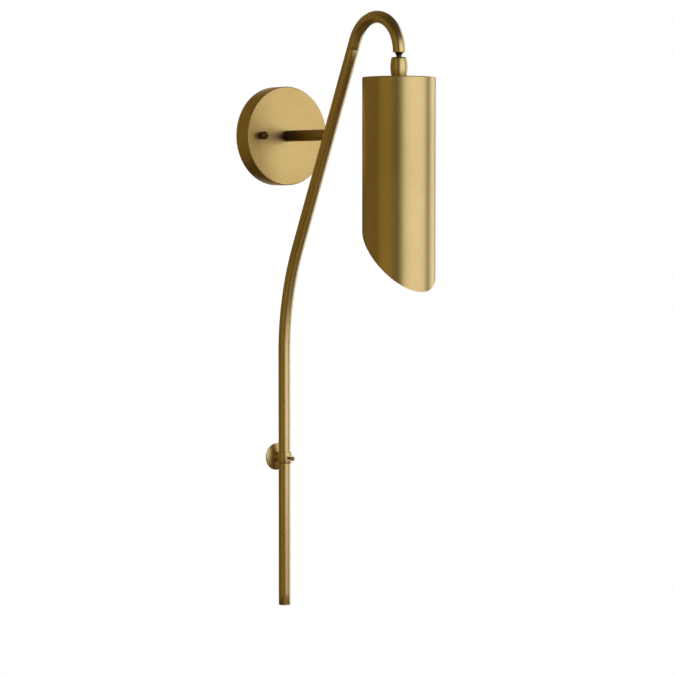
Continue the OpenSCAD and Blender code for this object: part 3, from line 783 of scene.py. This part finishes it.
def build_wall_hardware():
    """What is behind the canopy: two studs, two wire connectors and the two leads."""
    bm = bmesh.new()
    low, high = box("bracket_studs")
    for side in (-1, 1):
        place = Vector((side * STUD_X, 0, 0))
        threaded_rod(bm, 2.08, 0, -high.y, -low.y, place, OUT, 0.8, 0.28, 36)
        turn(bm, washer_outline(4, 2.1, 2.0, 4.4, 0.3), place, OUT, 48)
    piece("studs", bm, "fixture", "bracket_studs", "zinc")

    bm = bmesh.new()
    lead_x = 1.3
    lead_y = -11.5

    def ribs(t, r, h):
        return r * (1 - 0.05 * (0.5 - 0.5 * math.cos(12 * t))) if 1.5 < h - 20 < 14 else r

    for side in (-1, 1):
        outline = rounded([
            (0, 28, 0), (1, 28, 0), (1, 20, 0), (5.2, 20, 0.4), (5.2, 25, 0), (4.4, 29, 0),
            (3, 37, 0.5), (2, 38.5, 0.5), (0, 38.5, 0),
        ], 3)
        outline = outline[:5] + closer(outline[5:], 1.0)
        turn(bm, outline, Vector((side * lead_x, lead_y, 0)), UP * side, 96, False, ribs)
    piece("connectors", bm, "fixture", "wire_connectors", "connector")

    bm = bmesh.new()
    turn_r = 6
    last_angle = 169                # where the leads end in the gooseneck
    corner_r = 8
    corner = corner_r * math.tan(math.radians(90 - LEAN_DEG) / 2)
    corner_start = Vector((-ARM_REACH + corner, 0))
    for side in (-1, 1):
        pipe(bm, [
            ("line", Vector((lead_y, side * 26)), Vector((lead_y, side * turn_r)), 3),
            ("arc", Vector((lead_y - turn_r, side * turn_r)), turn_r, 0, -90 * side, 6),
            ("line", Vector((lead_y - turn_r, 0)), corner_start, 6),
            ("arc", corner_start + Vector((0, corner_r)), corner_r, 270, 180 + LEAN_DEG, 6),
            ("line", ARM_JOINT + LEAN_DIR * corner, NECK_START, 8),
            ("arc", NECK_CENTRE, NECK_BEND_R, LEAN_DEG, last_angle, 30),
        ], LEAD_R, 0, 0.2, in_side_plane(side * lead_x), 16)
    piece("leads", bm, "fixture", "supply_leads", "insulation")


# ---------------------------------------------------------------- swivel and shade


def build_swivel():
    """The ball swivel, from the bushing in the gooseneck down to the barrel's plug."""
    low, high = head_box("gooseneck_bushing")
    # the bushing and the ball stud below wear brass painted dark with shade and reflection
    turned_piece("bushing", washer_outline(half_width("gooseneck_bushing"), 4.05, low.z, high.z, 0.3),
                 SHADE_AXIS, UP, "fixture", "gooseneck_bushing", "dark_brass")

    top = head_box("swivel_stud")[1].z
    outline = [(1.7, top - 0.2), (1.7, BALL - 6.27)] + arc(0, BALL, BALL_R, -74.8, 60, 24) + [
        (3.25, BALL + 6.0), (3.25, 90.6), (3.3, 91.0), (5.2, 94.4), (5.3, 94.55), (5.2, 94.7),
        (4.0, 94.7), (4.0, top - 0.4), (3.6, top), (1.9, top)]
    turned_piece("ball_stud", outline, SHADE_AXIS, UP, "stud", "swivel_stud", "dark_brass", steps=72)
    low, high = head_box("stud_clip")
    turned_piece("clip", washer_outline(5.2, 4.02, low.z, high.z, 0.2), SHADE_AXIS, UP, "stud",
                 "stud_clip", "zinc")

    low, high = head_box("swivel_barrel")
    half = (high.z - low.z) / 2
    middle = low.z + half
    mid_r, end_r = 10.5, 9.0
    swell_r = (half ** 2 + (mid_r - end_r) ** 2) / (2 * (mid_r - end_r))
    wall = []
    for k in range(21):
        z = low.z + 0.4 + (2 * half - 1.2) * k / 20
        wall.append((mid_r - swell_r + math.sqrt(swell_r ** 2 - (z - middle) ** 2), z))
    mouth_z = BALL + math.sqrt(CAVITY_R ** 2 - 5.6 ** 2)
    cavity = arc(0, BALL, CAVITY_R, 31.2, 0, 6)
    outline = [(7.1, low.z), (end_r - 0.35, low.z)] + wall + [
        (8.7, high.z - 0.3), (8.4, high.z - 0.05), (8.15, high.z), (7.95, high.z - 0.1),
        (5.65, mouth_z + 0.15)] + cavity + [(7.1, BALL)]
    turned_piece("barrel_shell", outline, SHADE_AXIS, UP, "barrel", "swivel_barrel", "turned_brass")

    low, high = head_box("ball_seat")
    cup = arc(0, BALL, BALL_R + 0.08, -26, -66, 4)
    turned_piece("seat", [(2.7, low.z), (7.05, low.z), (7.05, high.z)] + cup,
                 SHADE_AXIS, UP, "barrel", "ball_seat", "nylon")
    low, high = head_box("seat_spring")
    turned_piece("spring", [(3.2, high.z - 0.8), (6.9, low.z), (6.9, low.z + 0.8), (3.2, high.z)],
                 SHADE_AXIS, UP, "barrel", "seat_spring", "zinc")
    low, high = head_box("barrel_plug")
    turned_piece("plug", washer_outline(7.05, 5.05, low.z, high.z, 0.3), SHADE_AXIS, UP, "barrel",
                 "barrel_plug", "turned_brass")


def build_shade():
    """Spun cup with a slanted rim, and the nipple, washer and nut that hold it."""
    low, high = head_box("shade_shell")
    radius = half_width("shade_shell")
    top = high.z
    cut_z = low.z + radius          # where the 45 degree cut crosses the axis
    steps = 160
    bm = bmesh.new()

    def ring(r, height):
        found = []
        for k in range(steps):
            t = math.tau * k / steps
            x, y = r * math.cos(t), r * math.sin(t)
            z = height(y) if callable(height) else height
            found.append(bm.verts.new((x, SHADE_Y + y, HEAD_Z + z)))
        return found

    def wall_ring(r, share, start, ease):
        return ring(r, lambda y: start + (cut_z + y + ease - start) * share)

    inner = radius - WALL
    shares = (0.01, 0.06, 0.15, 0.3, 0.45, 0.6, 0.75, 0.88, 0.96, 1.0)
    rings = [ring(5.1, top - WALL + 0.2), ring(5.1, top - 0.2), ring(5.3, top), ring(12, top),
             ring(radius - 2.2, top)]
    rings += [ring(r, z) for r, z in arc(radius - 1.2, top - 1.2, 1.2, 90, 0, 7)]
    rings += [wall_ring(radius, s, top - 1.2, 0.25) for s in shares]
    rings += [ring(radius - 0.1, lambda y: cut_z + y + 0.05), ring(radius - 0.3, lambda y: cut_z + y),
              ring(inner + 0.3, lambda y: cut_z + y), ring(inner + 0.1, lambda y: cut_z + y + 0.05)]
    rings += [wall_ring(inner, s, top - WALL - 0.6, 0.25) for s in reversed(shares)]
    rings += [ring(r, z) for r, z in arc(inner - 0.6, top - WALL - 0.6, 0.6, 0, 90, 4)]
    rings += [ring(inner - 1.6, top - WALL), ring(12, top - WALL), ring(5.3, top - WALL)]
    grid(bm, rings, True)
    piece("shade", bm, "shade", "shade_shell", "shade_brass")

    low, high = head_box("shade_nipple")
    bm = bmesh.new()
    threaded_rod(bm, 5.0, 3.5, low.z, high.z, SHADE_AXIS, UP, 1.4, 0.5, 60)
    piece("shade_thread", bm, "shade", "shade_nipple", "zinc")
    low, high = head_box("shade_washer")
    turned_piece("shade_ring", washer_outline(10, 5.1, low.z, high.z), SHADE_AXIS, UP, "shade",
                 "shade_washer", "zinc")
    low, high = head_box("shade_locknut")
    hex_nut("shade_nut", 14, 5.03, low.z, high.z, SHADE_AXIS, UP, "shade", "shade_locknut", "zinc")


def build_socket():
    """The lampholder: cap, body, threaded shell, contact and its two leads."""
    low, high = head_box("socket_cap")
    top = high.z
    outline = rounded([
        (5.03, top, 0), (15, top, 1.2), (18, top - 3, 1.2), (18, low.z, 0.3), (16.8, low.z, 0.3),
        (16.8, top - 3.4, 1), (14.5, top - 1.6, 0.8), (5.03, top - 1.6, 0),
    ])
    turned_piece("holder_cap", outline, SHADE_AXIS, UP, "shade", "socket_cap", "zinc")
    low, high = head_box("socket_body")
    outline = rounded([
        (0, high.z, 0), (18, high.z, 0.5), (19, high.z - 2, 0.6), (19, 20, 0.6), (18, 18, 0.6),
        (18, low.z + 1, 0.6), (17, low.z, 0.5), (14.6, low.z, 0.4), (14.6, 39, 0.6), (0, 39, 0),
    ], 4)
    holes = [(SHADE_AXIS + Vector((side * 8, 0, 35)), UP, 1.4, 14) for side in (-1, 1)]
    turned_piece("holder_body", outline, SHADE_AXIS, UP, "shade", "socket_body", "porcelain",
                 holes, closed=False)

    low, high = head_box("socket_shell")
    outer = sampled(14.5, low.z, high.z, LAMP_PITCH / 8)
    inside = [(13.7, h) for _, h in reversed(outer)]
    turned_piece("holder_shell", outer + inside, SHADE_AXIS, UP, "shade", "socket_shell",
                 "plain_brass", shape=rolled_thread(low.z + 1, high.z - 2, 0.34))

    low, high = head_box("socket_contact")
    bm = bmesh.new()
    contact_z = 37.6
    turn(bm, rounded([(0, low.z, 0), (2, low.z, 0.5), (2, low.z + 1.1, 0), (0, low.z + 1.1, 0)], 4),
         SHADE_AXIS, UP, 40, False)
    turn(bm, rounded([(0, contact_z, 0), (1.6, contact_z, 0), (1.6, high.z, 0.4), (0, high.z, 0)], 4),
         SHADE_AXIS + Vector((0, 5.5, 0)), UP, 40, False)
    strip(bm, SHADE_AXIS + Vector((-2.5, -5, contact_z)),
          SHADE_AXIS + Vector((2.5, 7, contact_z + 0.6)), 0.12)
    piece("holder_contact", bm, "shade", "socket_contact", "plain_brass")

    bm = bmesh.new()
    low, high = head_box("socket_leads")
    near_x = 1.5
    far_x = 8
    turn_r = 3
    cross_z = 50                    # height of the leads' way outwards
    for side in (-1, 1):
        start, stop = (180, 270) if side > 0 else (0, -90)
        pipe(bm, [
            ("line", Vector((side * near_x, high.z)), Vector((side * near_x, cross_z + turn_r)), 4),
            ("arc", Vector((side * (near_x + turn_r), cross_z + turn_r)), turn_r, start, stop, 6),
            ("line", Vector((side * (near_x + turn_r), cross_z)),
             Vector((side * (far_x - turn_r), cross_z)), 1),
            ("arc", Vector((side * (far_x - turn_r), cross_z - turn_r)), turn_r, 90, 180 - start, 6),
            ("line", Vector((side * far_x, cross_z - turn_r)), Vector((side * far_x, low.z)), 3),
        ], LEAD_R, 0, 0.15, in_front_plane(SHADE_Y), 16)
    piece("holder_leads", bm, "shade", "socket_leads", "insulation")


def strip(bm, low, high, ease):
    """A flat strip with eased edges."""
    rings = []
    for z, inset in ((low.z, ease), (low.z + ease, 0), (high.z - ease, 0), (high.z, ease)):
        rings.append([bm.verts.new((x, y, z)) for x, y in (
            (low.x + inset, low.y + inset), (high.x - inset, low.y + inset),
            (high.x - inset, high.y - inset), (low.x + inset, high.y - inset))])
    grid(bm, rings, False)
    bm.faces.new(rings[0])
    bm.faces.new(rings[-1])


def build_lamp():
    """The lamp's centre contact, its threaded cap and its glass."""
    low, high = head_box("bulb_tip")
    outline = rounded([(0, low.z, 0), (4.6, low.z, 0.2), (3.6, high.z, 0.6), (0, high.z, 0)], 4)
    turned_piece("lamp_tip", outline, SHADE_AXIS, UP, "lamp_contact", "bulb_tip", "lamp_metal",
                 closed=False)

    low = head_box("bulb_cap")[0]
    thread_top = 31
    outer = sampled(13.2, low.z, thread_top, LAMP_PITCH / 8)
    inside = [(12.6, h) for _, h in reversed(outer)]
    outline = [(0, 35), (6.8, 35), (7.3, 34.7), (12.6, 31.6)] + outer[::-1] + inside[::-1] + [
        (6.6, 34.2), (0, 34.2)]
    turned_piece("lamp_cap", outline, SHADE_AXIS, UP, "lamp", "bulb_cap", "lamp_metal",
                 closed=False, shape=rolled_thread(low.z + 1.5, thread_top, 0.75, 12))

    low, high = head_box("bulb_glass")
    sphere_z = low.z + 30
    turned_piece("lamp_glass", envelope(0, sphere_z, high.z) + envelope(0.8, sphere_z, high.z)[::-1],
                 SHADE_AXIS, UP, "lamp", "bulb_glass", "opal_glass", closed=False, steps=112)


def envelope(inset, sphere_z, top):
    """Half outline of the lamp glass, from its bottom pole up to its neck."""
    r = 30 - inset
    neck = 13.4 - inset
    touch_deg = 40                  # where the shoulder leaves the sphere
    touch = math.radians(touch_deg)
    run = (r * math.cos(touch) - neck) / math.sin(touch)
    neck_z = sphere_z + r * math.sin(touch) + run * math.cos(touch)
    ball = arc(0, sphere_z, r, -90, touch_deg, 36)
    start_r, start_z = ball[-1]
    blend = [(start_r + (neck - start_r) * k / 8, start_z + (neck_z - start_z) * k / 8)
             for k in range(1, 8)]
    ball[0] = (0, ball[0][1])
    return ball + blend + [(neck, neck_z + 1), (neck, top - 0.4), (neck - 0.1, top)]


# ---------------------------------------------------------------- lower support


def build_support():
    """The foot on the wall, its post, the collar on the stem and the thumb screw."""
    low, high = box("foot_rosette")
    radius = half_width("foot_rosette")
    seat = high.y - low.y
    edge, dome = 1.4, 2.4
    sphere_r = (radius ** 2 + dome ** 2) / (2 * dome)
    flat_r = math.sqrt(sphere_r ** 2 - (sphere_r - (edge + dome - seat)) ** 2)
    curve = []
    for k in range(17):
        r = radius - 0.5 + (flat_r - radius + 0.5) * k / 16
        curve.append((r, edge + dome - sphere_r + math.sqrt(sphere_r ** 2 - r * r)))
    outline = [(2.6, 0), (radius - 0.3, 0), (radius, 0.3), (radius, edge - 0.35),
               (radius - 0.12, edge - 0.05)] + curve + [(2.6, seat)]
    foot_centre = Vector((0, 0, SUPPORT_Z))
    turned_piece("foot", outline, foot_centre, OUT, "support", "foot_rosette", "shade_brass", steps=120)

    low, high = box("stem_collar")
    half = (high.z - low.z) / 2
    end_r = half_width("stem_collar") - 0.4
    bulge = 0.4
    bulge_r = (half ** 2 + bulge ** 2) / (2 * bulge)
    centre_y = (low.y + high.y) / 2

    def collar_r(z):
        return end_r + bulge - bulge_r + math.sqrt(bulge_r ** 2 - z * z)

    steps = 96
    bm = bmesh.new()

    def ring(r, z, y):
        angles = [math.tau * k / steps for k in range(steps)]
        return [bm.verts.new((r * math.cos(t), y + r * math.sin(t), SUPPORT_Z + z)) for t in angles]

    bore = TUBE_R + 0.11
    edge_r = collar_r(half)
    rings = [ring(bore, -half + 0.2, LOWER_Y), ring(bore + 0.15, -half, LOWER_Y),
             ring(edge_r - 0.3, -half, centre_y), ring(edge_r - 0.08, -half + 0.1, centre_y)]
    for k in range(13):
        z = (-half + 0.35) + (2 * half - 0.7) * k / 12
        rings.append(ring(collar_r(z), z, centre_y))
    rings += [ring(edge_r - 0.08, half - 0.1, centre_y), ring(edge_r - 0.3, half, centre_y),
              ring(bore + 0.15, half, LOWER_Y), ring(bore, half - 0.2, LOWER_Y)]
    grid(bm, rings, True)
    screw_hole = (Vector((0, LOWER_Y, SUPPORT_Z)), OUT, 1.5, 20)
    piece("collar", bm, "support", "stem_collar", "turned_brass", [screw_hole])

    bm = bmesh.new()
    post_r = half_width("foot_post")

    def on_collar(x, z):
        return centre_y + math.sqrt((collar_r(z) + 0.02) ** 2 - x * x)

    def post_ring(r, y):
        return ring_about_y(bm, r, y, 64, SUPPORT_Z)

    rings = [[bm.verts.new((0, -8, SUPPORT_Z))], post_ring(1.65, -8), post_ring(1.65, -0.6),
             post_ring(1.85, -0.4), post_ring(2.3, -0.4), post_ring(2.5, -0.6), post_ring(2.5, -seat),
             post_ring(post_r - 0.25, -seat), post_ring(post_r, -seat - 0.25)]
    for share in (0.3, 0.7):
        rings.append(post_ring(post_r, lambda x, z: -seat + (on_collar(x, z) + seat) * share))
    rings += [post_ring(post_r, on_collar), post_ring(post_r * 0.8, on_collar),
              post_ring(post_r * 0.4, on_collar), [bm.verts.new((0, on_collar(0, 0), SUPPORT_Z))]]
    grid(bm, rings, False)
    piece("post", bm, "support", "foot_post", "turned_brass")

    low, high = box("thumb_screw")
    bm = bmesh.new()
    threaded_rod(bm, 1.45, 0, -high.y, -low.y, foot_centre, OUT, 0.6, 0.18, 32)
    # the thumb screw's very dark brass is painted shade and dark reflection
    piece("screw_rod", bm, "screw_shank", "thumb_screw", "dark_brass")
    low, high = box("thumb_knob")
    knob_r = half_width("thumb_knob")
    middle = -(low.y + high.y) / 2
    start = math.degrees(math.asin(1.6 / knob_r))
    ball = arc(0, middle, knob_r, start - 90, 90, 28)[:-1]
    hole = [(0, middle + 0.6), (1.5, middle + 0.6), (1.5, ball[0][1] + 0.1)]
    outline = hole + ball + [(0, middle + knob_r)]
    turned_piece("knob", outline, foot_centre, OUT, "screw_knob", "thumb_knob", "turned_brass",
                 closed=False, steps=56)


# ---------------------------------------------------------------- carried-over CAD nodes

CARRIED = {
    "mounting_bracket": ("zinc", 0.25),
    "ground_screw": ("green_zinc", 0.2),
    "bulb_filament": ("light_strip", 0.1),
}


def dress_carried_nodes():
    """The plain hardware behind the canopy and inside the lamp: CAD meshes with eased edges."""
    for name, (material, ease) in CARRIED.items():
        obj = frame["nodes"][name]
        obj.data.materials.clear()
        obj.data.materials.append(MATERIALS[material])
        weld = obj.modifiers.new("weld", "WELD")
        weld.merge_threshold = 1e-6
        bevel = obj.modifiers.new("ease", "BEVEL")
        bevel.width = ease * MM
        bevel.segments = 2
        bevel.limit_method = "ANGLE"
        bevel.angle_limit = math.radians(50)
        bevel.harden_normals = True


GOLD = (1.0, 0.73, 0.23)
AMBER = (1.0, 0.76, 0.30)
CREAM = (1.0, 0.94, 0.84)

add_camera()
add_world()
add_floor()
add_softbox("key", 13, 0.28, 2.6, 4.5, 2.6, 40)
add_softbox("side", 92, 0.0, 2.4, 1.5, 3.2, 18)
add_softbox("fill", -81, 0.0, 2.6, 2.5, 3.0, 6, GOLD)
add_softbox("back", -146, 0.0, 2.6, 3.2, 3.0, 3.9, GOLD)
add_softbox("top", 175, 0.1, 2.6, 3.0, 2.2, 2.4, AMBER, 45)
add_softbox("low", -10, -0.1, 2.6, 3.2, 2.4, 4.6, AMBER, -50)
add_softbox("rear", 145, 0.0, 2.6, 1.6, 2.6, 7, CREAM)
build_stem()
build_arm()
build_canopy()
build_wall_hardware()
build_swivel()
build_shade()
build_socket()
build_lamp()
build_support()
dress_carried_nodes()

bpy.context.scene.view_settings.view_transform = "Standard"
